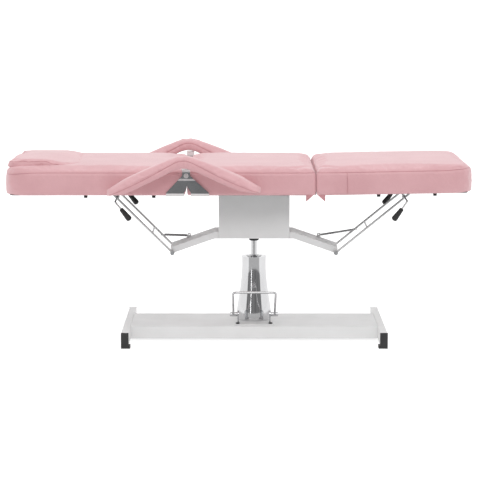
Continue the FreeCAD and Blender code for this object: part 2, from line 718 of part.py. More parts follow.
def release_place(way, angle):
    along = strut_vector(way, angle).normalize()
    square = V(-way * along.z, 0, way * along.x)
    top = strut_foot(way) + strut_vector(way, angle)
    return top - along * RELEASE_BACK + square * RELEASE_SIDE


def strut_sleeve(foot, side):
    """The sleeve round the pivot pin, and the hole in it."""
    a = V(foot.x, side * (BOX_WIDTH / 2 + REST_GAP), foot.z)
    b = V(foot.x, side * (STRUT_SPREAD + STRUT_R + SLEEVE_END), foot.z)
    return rod(a, b, COLLAR_R), rod(a, b, PIN_R + FIT)


def release_lug(place, bar, side):
    """The lug that carries the release rod, and the hole in it."""
    y = side * STRUT_SPREAD
    lug = rod(V(place.x, y - LUG_HALF, place.z), V(place.x, y + LUG_HALF, place.z), RELEASE_R + LUG_WALL)
    arm = box(
        bar.x - LUG_WALL, bar.x + LUG_WALL, y - LUG_HALF, y + LUG_HALF, bar.z - LUG_WALL, bar.z + LUG_WALL,
    )
    reach = LUG_HALF + STRUT_R
    hole = rod(V(place.x, y - reach, place.z), V(place.x, y + reach, place.z), RELEASE_R + FIT)
    return lug.fuse(arm), hole


def strut(way, angle, cross, hook):
    """A round rod bent into a frame, on a sleeve round its pivot pin, with a stiffener and a spring stub."""
    foot = strut_foot(way)
    along = strut_vector(way, angle)
    top = foot + along
    spread = V(0, STRUT_SPREAD, 0)
    solid = bent_rod([foot - spread, top - spread, top + spread, foot + spread], STRUT_R)
    for side in (-1, 1):
        sleeve, hole = strut_sleeve(foot, side)
        solid = solid.fuse(sleeve).cut(hole)
    middle = foot + strut_point(way, angle, cross)
    solid = solid.fuse(rod(middle - spread, middle + spread, STRUT_R - 1))
    stub = foot + strut_point(way, angle, hook)
    solid = solid.fuse(rod(stub + spread, stub + V(0, SPRING_Y - STUB_END, 0), STUB_R))
    place = release_place(way, angle)
    bar = top - along.normalize() * (RELEASE_BACK + 1)
    for side in (-1, 1):
        lug, hole = release_lug(place, bar, side)
        solid = solid.fuse(lug).cut(hole)
    return solid.removeSplitter()


def lever_vector(angle, length):
    return V(math.cos(math.radians(angle)), 0, math.sin(math.radians(angle))) * length


def release_rod(way, angle, lever_angle):
    place = release_place(way, angle)
    spread = V(0, RELEASE_SPREAD, 0)
    tip = place + lever_vector(lever_angle, LEVER_LENGTH - GRIP_LENGTH / 2)
    return bent_rod([tip - spread, place - spread, place + spread, tip + spread], RELEASE_R)


def release_grip(way, angle, lever_angle, side):
    place = release_place(way, angle) + V(0, side * RELEASE_SPREAD, 0)
    start = place + lever_vector(lever_angle, LEVER_LENGTH - GRIP_LENGTH)
    along = lever_vector(lever_angle, GRIP_LENGTH)
    grip = Part.makeCone(GRIP_NECK_R, GRIP_R, GRIP_LENGTH, start, along)
    return grip.cut(rod(start, start + along / 2, RELEASE_R))


def spring(way, angle, hook):
    """The extension spring: a plain sleeve with a hook at its eye end."""
    place, top = eye_place(way)
    stub = strut_foot(way) + strut_point(way, angle, hook) + V(0, SPRING_Y, 0)
    along = (stub - place).normalize()
    start = place + along * SPRING_GAP
    end = stub - along * (SPRING_GAP + STUB_R)
    body = rod(start, end, SPRING_R)
    hooked = body.fuse(rod(place, start, HOOK_R)).cut(spring_eye(way))
    return max(hooked.Solids, key=lambda s: s.Volume)


def make_struts():
    for way, end, angle, lever_angle, cross, hook in (
        (-1, "head", HEAD_STRUT_ANGLE, HEAD_LEVER_ANGLE, HEAD_CROSS, HEAD_HOOK),
        (1, "foot", FOOT_STRUT_ANGLE, FOOT_LEVER_ANGLE, FOOT_CROSS, FOOT_HOOK),
    ):
        save("strut_" + end, strut(way, angle, cross, hook))
        save("release_rod_" + end, release_rod(way, angle, lever_angle))
        save("spring_" + end, spring(way, angle, hook))
        for side, name in SIDES:
            save("release_grip_" + end + "_" + name, release_grip(way, angle, lever_angle, side))


def rails(x0, x1, way):
    """Two flat bars under a board, notched along the lower edge for the strut's top bar."""
    bars = []
    for side in (-1, 1):
        bar = box(
            x0, x1, side * (RAIL_SPREAD - RAIL_W / 2), side * (RAIL_SPREAD + RAIL_W / 2),
            BED_Z - RAIL_H, BED_Z,
        )
        count = int(abs(x1 - x0) / NOTCH_PITCH)
        for i in range(1, count):
            x = x0 + way * NOTCH_PITCH * i
            bar = bar.cut(rod(
                V(x, side * (RAIL_SPREAD - RAIL_W), BED_Z - RAIL_H),
                V(x, side * (RAIL_SPREAD + RAIL_W), BED_Z - RAIL_H), NOTCH_R,
            ))
        bars.append(bar)
    return bars


def bumpers(pivot, way, distances):
    """Rubber feet under a board, near both its sides."""
    y = HALF - BUMPER_INSET
    places = [V(pivot.x + way * d, side * y, BED_Z - BUMPER_H) for d in distances for side in (-1, 1)]
    return [Part.makeCylinder(BUMPER_R, BUMPER_H, place) for place in places]


def make_undersides():
    back_rails = rails(BACK_PIVOT.x - HEAD_RAIL[0], BACK_PIVOT.x - HEAD_RAIL[1], -1)
    foot_rails = rails(LEG_PIVOT.x + FOOT_RAIL[0], LEG_PIVOT.x + FOOT_RAIL[1], 1)
    leg_bumpers = bumpers(LEG_PIVOT, 1, LEG_BUMPERS)
    save("backrest_rails", group(back_rails))
    save("backrest_bumpers", group(bumpers(BACK_PIVOT, -1, BACK_BUMPERS)))
    save("leg_rest_rails", group([turned(bar, LEG_PIVOT, -LEG_TILT) for bar in foot_rails]))
    save("leg_rest_bumpers", group([turned(bumper, LEG_PIVOT, -LEG_TILT) for bumper in leg_bumpers]))


def hinge_bar(y, low, high, r, gap=0.0):
    """A round bar on the fold line, over some of a hinge's knuckles."""
    z = BED_Z - HINGE_R
    return rod(V(LEG_PIVOT.x, y + KNUCKLE * low + gap, z), V(LEG_PIVOT.x, y + KNUCKLE * high - gap, z), r)


def hinge_plate(x0, x1, y, half, gap=0.0):
    return box(x0, x1, y - half + gap, y + half - gap, BED_Z - HINGE_THICK, BED_Z)


def seat_leaf(y):
    leaf = hinge_plate(LEG_PIVOT.x - HINGE_LEAF, LEG_PIVOT.x, y, KNUCKLE * 1.5)
    leaf = leaf.fuse(hinge_bar(y, -1.5, -0.5, HINGE_R)).fuse(hinge_bar(y, 0.5, 1.5, HINGE_R))
    return leaf.cut(hinge_bar(y, -0.5, 0.5, HINGE_R + HINGE_ROOM, -FIT)).cut(hinge_bar(y, -2, 2, HINGE_R / 2))


def leg_leaf(y):
    clear = LEG_PIVOT.x + HINGE_R + HINGE_ROOM
    leaf = hinge_plate(clear, LEG_PIVOT.x + HINGE_LEAF, y, KNUCKLE * 1.5)
    neck = hinge_plate(LEG_PIVOT.x, clear + HINGE_ROOM, y, KNUCKLE / 2, FIT)
    eye = hinge_bar(y, -0.5, 0.5, HINGE_R, FIT)
    return leaf.fuse(neck).fuse(eye).cut(hinge_bar(y, -2, 2, HINGE_R / 2 + FIT))


def make_hinges():
    """Three-knuckle butt hinges under the seat and the leg rest, pins on the fold line."""
    places = (-HALF * HINGE_SHARE, HALF * HINGE_SHARE)
    save("seat_hinge_leaves", group([seat_leaf(y) for y in places]))
    save("hinge_pins", group([hinge_bar(y, -1.5, 1.5, HINGE_R / 2) for y in places]))
    save("leg_hinge_leaves", group([leg_leaf(y) for y in places]))


os.makedirs("parts", exist_ok=True)
make_pads()
make_pillow()
make_base()
make_pump()
make_lift()
make_pedal()
make_carriage()
make_arms()
make_struts()
make_undersides()
make_hinges()
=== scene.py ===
import math
import bmesh
import bpy
from mathutils import Matrix, Vector, noise


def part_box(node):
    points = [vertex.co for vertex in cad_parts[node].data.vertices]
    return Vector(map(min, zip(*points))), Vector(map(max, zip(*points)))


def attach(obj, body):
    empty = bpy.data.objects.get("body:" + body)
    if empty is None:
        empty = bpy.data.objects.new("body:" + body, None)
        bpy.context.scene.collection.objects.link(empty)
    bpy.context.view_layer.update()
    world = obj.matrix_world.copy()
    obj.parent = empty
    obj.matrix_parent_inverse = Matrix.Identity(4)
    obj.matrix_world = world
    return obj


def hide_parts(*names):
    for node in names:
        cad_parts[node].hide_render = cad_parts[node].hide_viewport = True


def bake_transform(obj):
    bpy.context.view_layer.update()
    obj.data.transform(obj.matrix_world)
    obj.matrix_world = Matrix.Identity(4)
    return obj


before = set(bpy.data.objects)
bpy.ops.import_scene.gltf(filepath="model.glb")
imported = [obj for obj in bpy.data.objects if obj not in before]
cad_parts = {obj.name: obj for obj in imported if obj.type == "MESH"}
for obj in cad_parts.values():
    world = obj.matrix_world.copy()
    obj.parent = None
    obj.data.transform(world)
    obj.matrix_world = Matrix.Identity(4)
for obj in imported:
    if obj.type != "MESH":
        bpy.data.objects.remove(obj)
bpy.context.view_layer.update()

# Values, in metres. Places come from the frame; these are the sizes of the trim and of the soft shapes.
BED_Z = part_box("seat_board")[0].z
TOP_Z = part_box("seat_cushion")[1].z
PAD_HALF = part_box("seat_cushion")[1].y
SEAM_DROP = 0.012
LEG_TILT = math.radians(1.0)
PIPING_R = 0.0014
ARM_APEX_R = 0.085
ARM_SLOPE_HEAD = math.radians(25.5)
ARM_SLOPE_FOOT = math.radians(23.5)
ARM_TIP_RISE = 0.020
ARM_CROWN = 0.014
ARM_WAIST = 0.084
ARM_WIDEST = 0.102
ARM_WIDEST_AT = 0.62

# Painted highlights on the bracket plates: the heights of the bright tab, crease and foot-flange bands.
TAB_HIGHLIGHT_HEIGHTS = (0.686, 0.694)
CREASE_HIGHLIGHT_HEIGHTS = (0.656, 0.663)
FLANGE_HIGHLIGHT_TOP = 0.6065
HIGHLIGHT_BAND_BLUR = 0.002
TAB_LENGTH = 0.030
TAB_DEPTH = 0.027
TAB_LEATHER = 0.0016

FOLD_GAP = 0.0025
COVER_EASE = 0.003
CLOTH_FRAMES = 20
BAND_SEAM_R = 0.0008

GRIP_MARGIN = 0.008
GRIP_NECK_R = 0.0060
GRIP_COLLAR_R = 0.0076
GRIP_R = 0.0078
GRIP_SWELL = 0.0044
GRIP_RING = 0.0004
GRIP_END_R = 0.0120

SPRING_COIL_R = 0.0040
SPRING_TURNS = 42
SPRING_WIRE_R = 0.0011
SPRING_HOOK = 0.010
SPRING_OVERRUN = 0.008

LINING_DROP = 0.0026
LINING_INSET = 0.014
LINING_CORNER = 0.05

# The camera: a long lens about seven metres in front.
LENS_MM = 137.5
CAMERA_DISTANCE = 7.275
CAMERA_HEIGHT = 1.45
CAMERA_PITCH = math.radians(8.38)
CAMERA_X = 0.0103
FLOOR_FRONT = 2.7
FLOOR_HALF = (30.0, 16.0)

# The light: a white room, three soft lamps and a floor that glows a little.
WORLD_STRENGTH = 1.05
TOP_POWER = 9
FRONT_POWER = 29
STRIP_POWER = 5
FLOOR_GLOW = 0.26
FLOOR_GLOW_SEEN = 0.35
FLOOR_GLOW_MIRRORED = 0.05
PUMP_CENTRE = 0.08
MIRRORED_SPREAD = 1.3


# ---------------------------------------------------------------- material tools

def socket_group(name, inputs, outputs):
    group = bpy.data.node_groups.new(name, "ShaderNodeTree")
    for label, value in inputs:
        made = group.interface.new_socket(label, in_out="INPUT", socket_type="NodeSocketFloat")
        made.default_value = value
    for label in outputs:
        group.interface.new_socket(label, in_out="OUTPUT", socket_type="NodeSocketFloat")
    return group, group.nodes.new("NodeGroupInput"), group.nodes.new("NodeGroupOutput")


def maths(tree, operation, a, b=None):
    step = tree.nodes.new("ShaderNodeMath")
    step.operation = operation
    for place, value in enumerate((a, b)):
        if value is None:
            continue
        if isinstance(value, (int, float)):
            step.inputs[place].default_value = value
        else:
            tree.links.new(value, step.inputs[place])
    return step.outputs[0]


def noise_field(tree, vector, scale, detail=3.0, roughness=0.55):
    field = tree.nodes.new("ShaderNodeTexNoise")
    field.inputs["Detail"].default_value = detail
    field.inputs["Roughness"].default_value = roughness
    tree.links.new(vector, field.inputs["Vector"])
    if isinstance(scale, (int, float)):
        field.inputs["Scale"].default_value = scale
    else:
        tree.links.new(scale, field.inputs["Scale"])
    return field.outputs["Fac"]


def spread(tree, value, low, high, to_low, to_high):
    band = tree.nodes.new("ShaderNodeMapRange")
    tree.links.new(value, band.inputs["Value"])
    for label, number in (
        ("From Min", low), ("From Max", high), ("To Min", to_low), ("To Max", to_high),
    ):
        band.inputs[label].default_value = number
    return band.outputs["Result"]


def make_grain_group():
    """Pebbled leather: large soft pebbles, fine pores and slow stretch marks."""
    group, given, out = socket_group(
        "leather_grain", [("Pebble Scale", 900.0), ("Pore Scale", 3200.0)], ["Height", "Crease", "Tone"],
    )
    place = group.nodes.new("ShaderNodeTexCoord").outputs["Object"]
    pebble = group.nodes.new("ShaderNodeTexVoronoi")
    pebble.feature = "DISTANCE_TO_EDGE"
    group.links.new(place, pebble.inputs["Vector"])
    group.links.new(given.outputs["Pebble Scale"], pebble.inputs["Scale"])
    crease = spread(group, pebble.outputs["Distance"], 0.0, 0.28, 1.0, 0.0)
    pore = noise_field(group, place, given.outputs["Pore Scale"], 2.0)
    slow = noise_field(group, place, 9.0, 4.0)
    fine = maths(group, "MULTIPLY", pore, 0.35)
    height = maths(group, "SUBTRACT", fine, maths(group, "MULTIPLY", crease, 0.5))
    group.links.new(height, out.inputs["Height"])
    group.links.new(crease, out.inputs["Crease"])
    group.links.new(slow, out.inputs["Tone"])
    return group


def make_wear_group():
    """Handling marks: cloudy smudges, fine scratches and a light speckle."""
    group, given, out = socket_group(
        "handling_marks",
        [("Smudge Scale", 12.0), ("Speckle Scale", 700.0)],
        ["Smudge", "Scratch", "Speckle"],
    )
    place = group.nodes.new("ShaderNodeTexCoord").outputs["Object"]
    smudge = noise_field(group, place, given.outputs["Smudge Scale"], 5.0, 0.6)
    speckle = noise_field(group, place, given.outputs["Speckle Scale"], 2.0)
    stretch = group.nodes.new("ShaderNodeMapping")
    stretch.inputs["Scale"].default_value = (14.0, 240.0, 60.0)
    group.links.new(place, stretch.inputs["Vector"])
    fine = noise_field(group, stretch.outputs["Vector"], 3.0, 3.0, 0.7)
    scratch = spread(group, fine, 0.62, 0.7, 0.0, 1.0)
    group.links.new(smudge, out.inputs["Smudge"])
    group.links.new(scratch, out.inputs["Scratch"])
    group.links.new(speckle, out.inputs["Speckle"])
    return group


GRAIN = make_grain_group()
WEAR = make_wear_group()


def material_base(name, group):
    """A new material: its tree, its shader and the group placed in it."""
    material = bpy.data.materials.new(name)
    material.use_nodes = True
    tree = material.node_tree
    placed = tree.nodes.new("ShaderNodeGroup")
    placed.node_tree = group
    return material, tree, tree.nodes["Principled BSDF"], placed


def mix_colour(tree, share, first, second):
    blend = tree.nodes.new("ShaderNodeMix")
    blend.data_type = "RGBA"
    tree.links.new(share, blend.inputs["Factor"])
    for label, colour in (("A", first), ("B", second)):
        slot = [s for s in blend.inputs if s.name == label and s.type == "RGBA"][0]
        if isinstance(colour, tuple):
            slot.default_value = (*colour, 1.0)
        else:
            tree.links.new(colour, slot)
    return [s for s in blend.outputs if s.type == "RGBA"][0]


def add_bump(tree, shader, height, strength, distance):
    bump = tree.nodes.new("ShaderNodeBump")
    bump.inputs["Strength"].default_value = strength
    bump.inputs["Distance"].default_value = distance
    tree.links.new(height, bump.inputs["Height"])
    tree.links.new(bump.outputs["Normal"], shader.inputs["Normal"])


def leather(name, light, deep, roughness=0.46):
    material, tree, shader, grain = material_base(name, GRAIN)
    tone = spread(tree, grain.outputs["Tone"], 0.35, 0.65, 0.0, 1.0)
    base = mix_colour(tree, tone, light, deep)
    # Painted shade: the grain's creases are darkened towards a deeper pink.
    crease_shade = maths(tree, "MULTIPLY", grain.outputs["Crease"], 0.22)
    shade = tuple(c * 0.72 for c in deep)
    tree.links.new(mix_colour(tree, crease_shade, base, shade), shader.inputs["Base Color"])
    rough = spread(tree, grain.outputs["Crease"], 0.0, 1.0, roughness, roughness + 0.16)
    tree.links.new(rough, shader.inputs["Roughness"])
    shader.inputs["Specular IOR Level"].default_value = 0.75
    shader.inputs["Coat Weight"].default_value = 0.15
    shader.inputs["Coat Roughness"].default_value = 0.35
    shader.inputs["Sheen Weight"].default_value = 0.35
    shader.inputs["Sheen Roughness"].default_value = 0.5
    add_bump(tree, shader, grain.outputs["Height"], 0.35, 0.0004)
    return material


def finish(
    name, colour, worn, roughness, metallic=0.0, spread_rough=0.1, bump=0.1, smudge=12.0, speckle=700.0,
):
    """A hard finish with smudges in its gloss, scratches and an orange-peel surface."""
    material, tree, shader, wear = material_base(name, WEAR)
    wear.inputs["Smudge Scale"].default_value = smudge
    wear.inputs["Speckle Scale"].default_value = speckle
    marks = maths(tree, "MULTIPLY", wear.outputs["Scratch"], 0.35)
    cloud = spread(tree, wear.outputs["Smudge"], 0.35, 0.7, 0.0, 0.5)
    base = mix_colour(tree, maths(tree, "MAXIMUM", marks, cloud), colour, worn)
    tree.links.new(base, shader.inputs["Base Color"])
    rough = spread(tree, wear.outputs["Smudge"], 0.3, 0.7, roughness, roughness + spread_rough)
    tree.links.new(rough, shader.inputs["Roughness"])
    shader.inputs["Metallic"].default_value = metallic
    cuts = maths(tree, "MULTIPLY", wear.outputs["Scratch"], 0.4)
    height = maths(tree, "SUBTRACT", wear.outputs["Speckle"], cuts)
    add_bump(tree, shader, height, bump, 0.0003)
    return material


def bracket_steel_painted_highlights():
    """Polished plate: dark leaning sides, with painted highlights by height: a bright tab, crease line and
    foot flange.
    """
    material = finish(
        "polished_plate_painted_highlights", (0.60, 0.61, 0.62), (0.46, 0.47, 0.48), 0.08, 1.0, 0.08, 0.03, 18.0, 1500.0,
    )
    tree = material.node_tree
    shader = tree.nodes["Principled BSDF"]
    place = tree.nodes.new("ShaderNodeSeparateXYZ")
    tree.links.new(tree.nodes.new("ShaderNodeTexCoord").outputs["Object"], place.inputs[0])
    # Painted highlight: pale, less metallic bands at the tab, the crease and the foot flange.
    low, high = TAB_HIGHLIGHT_HEIGHTS
    height = place.outputs["Z"]
    tab = spread(tree, height, low, high, 0.0, 1.0)
    crease_low, crease_high = CREASE_HIGHLIGHT_HEIGHTS
    above = spread(tree, height, crease_low, crease_low + HIGHLIGHT_BAND_BLUR, 0.0, 0.75)
    below = spread(tree, height, crease_high, crease_high + HIGHLIGHT_BAND_BLUR, 1.0, 0.0)
    crease = maths(tree, "MULTIPLY", above, below)
    foot = spread(tree, height, FLANGE_HIGHLIGHT_TOP, FLANGE_HIGHLIGHT_TOP + HIGHLIGHT_BAND_BLUR, 1.0, 0.0)
    tab = maths(tree, "MAXIMUM", tab, maths(tree, "MAXIMUM", crease, foot))
    plate = shader.inputs["Base Color"].links[0].from_socket
    tree.links.new(mix_colour(tree, tab, plate, (0.86, 0.86, 0.86)), shader.inputs["Base Color"])
    tree.links.new(maths(tree, "SUBTRACT", 1.0, maths(tree, "MULTIPLY", tab, 0.9)), shader.inputs["Metallic"])
    return material


def lining():
    """Spun lining cloth: a fine cross weave in near black."""
    material, tree, shader, wear = material_base("lining_cloth", WEAR)
    place = tree.nodes.new("ShaderNodeTexCoord").outputs["Object"]
    threads = []
    for direction in ("X", "Y"):
        wave = tree.nodes.new("ShaderNodeTexWave")
        wave.bands_direction = direction
        wave.inputs["Scale"].default_value = 260.0
        wave.inputs["Distortion"].default_value = 0.6
        tree.links.new(place, wave.inputs["Vector"])
        threads.append(wave.outputs["Fac"])
    weave = maths(tree, "MAXIMUM", *threads)
    colour = mix_colour(tree, weave, (0.03, 0.03, 0.032), (0.085, 0.085, 0.09))
    tree.links.new(colour, shader.inputs["Base Color"])
    shader.inputs["Roughness"].default_value = 0.9
    add_bump(tree, shader, weave, 0.5, 0.0005)
    return material


PINK = leather("pink_leather", (0.72, 0.40, 0.425), (0.67, 0.355, 0.38))
# A darker copy of the pink leather for the piping, band seams and corner tabs: painted shade of the seams and
# of the tabs under the boards.
PINK_TRIM_SHADED = leather("pink_trim_painted_shade", (0.60, 0.27, 0.29), (0.52, 0.22, 0.24), 0.5)
WHITE = finish(
    "white_powder_coat", (0.83, 0.83, 0.83), (0.77, 0.77, 0.765), 0.32, spread_rough=0.14, bump=0.14,
)
CHROME = finish("chrome_plate", (0.70, 0.70, 0.71), (0.62, 0.62, 0.63), 0.06, 1.0, 0.04, 0.006, 9.0)
STEEL = finish("bright_steel", (0.66, 0.67, 0.68), (0.52, 0.53, 0.54), 0.10, 1.0, 0.10, 0.03, 18.0, 1500.0)
BLACK_STEEL = finish("black_oxide", (0.035, 0.035, 0.037), (0.10, 0.10, 0.10), 0.34, 0.6, 0.2, 0.2)
PLASTIC = finish(
    "moulded_black", (0.022, 0.022, 0.023), (0.05, 0.05, 0.05), 0.42, 0.0, 0.2, 0.3, 14.0, 1400.0,
)
RUBBER = finish(
    "black_rubber", (0.018, 0.018, 0.018), (0.045, 0.045, 0.045), 0.55, 0.0, 0.2, 0.4, 22.0, 1100.0,
)
GREY_SPRING = finish("grey_spring_wire", (0.48, 0.48, 0.49), (0.36, 0.36, 0.37), 0.30, 0.5, 0.15, 0.1)
ZINC = finish("bright_zinc", (0.70, 0.70, 0.70), (0.60, 0.60, 0.60), 0.28, 0.35, 0.12, 0.05, 16.0, 1500.0)
BRACKET_PAINTED_HIGHLIGHTS = bracket_steel_painted_highlights()
LINING = lining()

NODE_FINISH = {
    "base_beam": WHITE, "cross_tube": WHITE, "end_cap": PLASTIC, "pump_plate_bolts": BLACK_STEEL,
    "pump_plate": WHITE, "pump_cylinder": STEEL, "rod_guide": CHROME, "pump_cover": CHROME,
    "pedal_ears": STEEL, "pedal_pins": STEEL, "pedal": CHROME, "piston_rod": CHROME, "piston": STEEL,
    "rubber_washer": RUBBER, "support_box": WHITE, "rod_socket": STEEL, "strut_arm": WHITE,
    "strut_pins": STEEL, "spring_eyes": WHITE, "seat_board": PINK, "backrest_board": PINK,
    "leg_rest_board": PINK, "seat_bracket_screws": STEEL, "backrest_bracket_screws": STEEL,
    "seat_bracket": BRACKET_PAINTED_HIGHLIGHTS, "backrest_bracket": BRACKET_PAINTED_HIGHLIGHTS, "backrest_pivot_bolts": ZINC,
    "seat_hinge_leaves": STEEL, "leg_hinge_leaves": STEEL, "hinge_pins": STEEL, "backrest_rails": STEEL,
    "leg_rest_rails": STEEL, "backrest_bumpers": RUBBER, "leg_rest_bumpers": RUBBER, "strut": ZINC,
    "release_rod": ZINC,
}


def dress_nodes():
    """Each CAD node gets the finish whose name starts its own, the longest first."""
    for name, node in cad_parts.items():
        fits = [key for key in NODE_FINISH if name.startswith(key)]
        if fits:
            node.data.materials.clear()
            node.data.materials.append(NODE_FINISH[max(fits, key=len)])


# ---------------------------------------------------------------- mesh tools

def as_piece(name, mesh_or_bm, material, body, smooth=True):
    if isinstance(mesh_or_bm, bmesh.types.BMesh):
        mesh = bpy.data.meshes.new(name)
        mesh_or_bm.to_mesh(mesh)
        mesh_or_bm.free()
    else:
        mesh = mesh_or_bm
        mesh.name = name
    mesh.materials.clear()
    mesh.materials.append(material)
    for face in mesh.polygons:
        face.use_smooth = smooth
    piece = bpy.data.objects.new(name, mesh)
    bpy.context.scene.collection.objects.link(piece)
    if body:
        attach(piece, body)
    return piece


def evaluated_mesh(piece):
    graph = bpy.context.evaluated_depsgraph_get()
    return bpy.data.meshes.new_from_object(piece.evaluated_get(graph))


def apply_modifiers(piece):
    mesh = evaluated_mesh(piece)
    piece.modifiers.clear()
    old = piece.data
    piece.data = mesh
    bpy.data.meshes.remove(old)
    for face in mesh.polygons:
        face.use_smooth = True


def remesh(piece, voxel):
    made = piece.modifiers.new("even", "REMESH")
    made.mode = "VOXEL"
    made.voxel_size = voxel
    apply_modifiers(piece)


def subdivide(piece):
    made = piece.modifiers.new("smooth", "SUBSURF")
    made.levels = 1
    made.render_levels = 1
    apply_modifiers(piece)


def tube_from_points(name, points, radius, material, body, closed=False, sides=3):
    """A round cord of leather or wire through the points."""
    line = bpy.data.curves.new(name, "CURVE")
    line.dimensions = "3D"
    line.bevel_depth = radius
    line.bevel_resolution = sides
    line.use_fill_caps = not closed
    path = line.splines.new("POLY")
    path.points.add(len(points) - 1)
    for knot, point in zip(path.points, points):
        knot.co = (*point, 1.0)
    path.use_cyclic_u = closed
    holder = bpy.data.objects.new(name, line)
    bpy.context.scene.collection.objects.link(holder)
    mesh = evaluated_mesh(holder)
    bpy.data.objects.remove(holder)
    bpy.data.curves.remove(line)
    return as_piece(name, mesh, material, body)


def stuff(piece, pinned, pressure, cap, growth=-0.02):
    """Cloth over foam: swell the cover, keep the pinned parts, and cap how far a point moves."""
    group = piece.vertex_groups.new(name="held")
    for vertex in piece.data.vertices:
        weight = pinned(vertex.co)
        if weight > 0:
            group.add([vertex.index], weight, "REPLACE")
    cloth = piece.modifiers.new("cloth", "CLOTH")
    settings = cloth.settings
    settings.quality = 5
    settings.use_pressure = True
    settings.uniform_pressure_force = pressure
    settings.effector_weights.gravity = 0.0
    settings.vertex_group_mass = "held"
    settings.shrink_min = growth
    settings.tension_stiffness = 20
    settings.compression_stiffness = 20
    settings.bending_stiffness = 2.0
    cloth.collision_settings.use_collision = False
    cloth.collision_settings.use_self_collision = False
    start = [v.co.copy() for v in piece.data.vertices]
    scene = bpy.context.scene
    for number in range(1, CLOTH_FRAMES + 1):
        scene.frame_set(number)
    mesh = evaluated_mesh(piece)
    moved = [v.co.copy() for v in mesh.vertices]
    bpy.data.meshes.remove(mesh)
    piece.modifiers.clear()
    scene.frame_set(1)
    for vertex, was, now in zip(piece.data.vertices, start, moved):
        step = now - was
        if step.length > cap:
            step = step * (cap / step.length)
        vertex.co = was + step
    piece.vertex_groups.clear()


def level_loop(piece, height):
    """The outline of a closed pad at one height, as ordered points."""
    bm = bmesh.new()
    bm.from_mesh(piece.data)
    cut = bmesh.ops.bisect_plane(
        bm, geom=bm.verts[:] + bm.edges[:] + bm.faces[:], plane_co=(0, 0, height), plane_no=(0, 0, 1),
        clear_inner=True, clear_outer=True,
    )
    edges = [e for e in cut["geom_cut"] if isinstance(e, bmesh.types.BMEdge)]
    points = walk_loop(edges)
    bm.free()
    return points


def walk_loop(edges):
    """The longest closed run of the edges, as points in order."""
    beside = {}
    for edge in edges:
        for vertex in edge.verts:
            beside.setdefault(vertex, []).append(edge)
    best = []
    used = set()
    for edge in edges:
        if edge in used:
            continue
        run = [edge.verts[0]]
        here = edge.verts[0]
        step = edge
        while step and step not in used:
            used.add(step)
            here = step.other_vert(here)
            run.append(here)
            step = next((e for e in beside[here] if e not in used), None)
        if len(run) > len(best):
            best = run
    return [v.co.copy() for v in best[:-1]]


def even_points(points, gap, closed=True):
    """The same line with evenly spaced points."""
    ring = points + points[:1] if closed else points
    lengths = [(b - a).length for a, b in zip(ring, ring[1:])]
    total = sum(lengths)
    count = max(8, int(total / gap))
    result = []
    at = 0
    passed = 0.0
    for i in range(count):
        want = total * i / count
        while at < len(lengths) - 1 and passed + lengths[at] < want:
            passed += lengths[at]
            at += 1
        share = (want - passed) / max(lengths[at], 1e-9)
        result.append(ring[at].lerp(ring[at + 1], min(share, 1.0)))
    return result


def smooth_points(points, rounds):
    for _ in range(rounds):
        count = len(points)
        points = [(points[i - 1] + points[i] * 2 + points[(i + 1) % count]) / 4 for i in range(count)]
    return points


# ---------------------------------------------------------------- cushions

def gauss(distance, width):
    return math.exp(-(distance / width) ** 2)


def pad_block(x0, x1, half, z0, z1, head_r, foot_r, rim_r=0.019):
    """The pad before it is stuffed: a box with rounded corners in plan and rounded rims."""
    bm = bmesh.new()
    bmesh.ops.create_cube(bm, size=1.0)
    bmesh.ops.scale(bm, vec=(x1 - x0, half * 2, z1 - z0), verts=bm.verts)
    bmesh.ops.translate(bm, vec=((x0 + x1) / 2, 0, (z0 + z1) / 2), verts=bm.verts)
    for end, r in ((x0, head_r), (x1, foot_r)):
        upright = [
            e for e in bm.edges
            if abs(e.verts[0].co.z - e.verts[1].co.z) > 1e-4 and abs(e.verts[0].co.x - end) < 1e-5
            and abs(e.verts[1].co.x - end) < 1e-5
        ]
        bmesh.ops.bevel(bm, geom=upright, offset=r, segments=12, affect="EDGES", profile=0.5, material=-1)
    for level, r in ((z1, rim_r), (z0, 0.003)):
        rim = [e for e in bm.edges if all(abs(v.co.z - level) < 1e-5 for v in e.verts) and not e.is_wire]
        rim = [e for e in rim if any(abs(f.normal.z) < 0.5 for f in e.link_faces)]
        bmesh.ops.bevel(bm, geom=rim, offset=r, segments=6, affect="EDGES", profile=0.5, material=-1)
    return bm


def seam_level(x, y, x0, x1, half, sag, rise):
    """The seam's height below the top: it sags at one end's corners and rises at the other's."""
    corner = smooth_step((abs(y) / half - 0.35) / 0.5)
    at_head = smooth_step(1 - (x - x0) / 0.13)
    at_foot = smooth_step(1 - (x1 - x) / 0.13)
    return -SEAM_DROP - sag * at_head * corner + rise * at_foot * corner


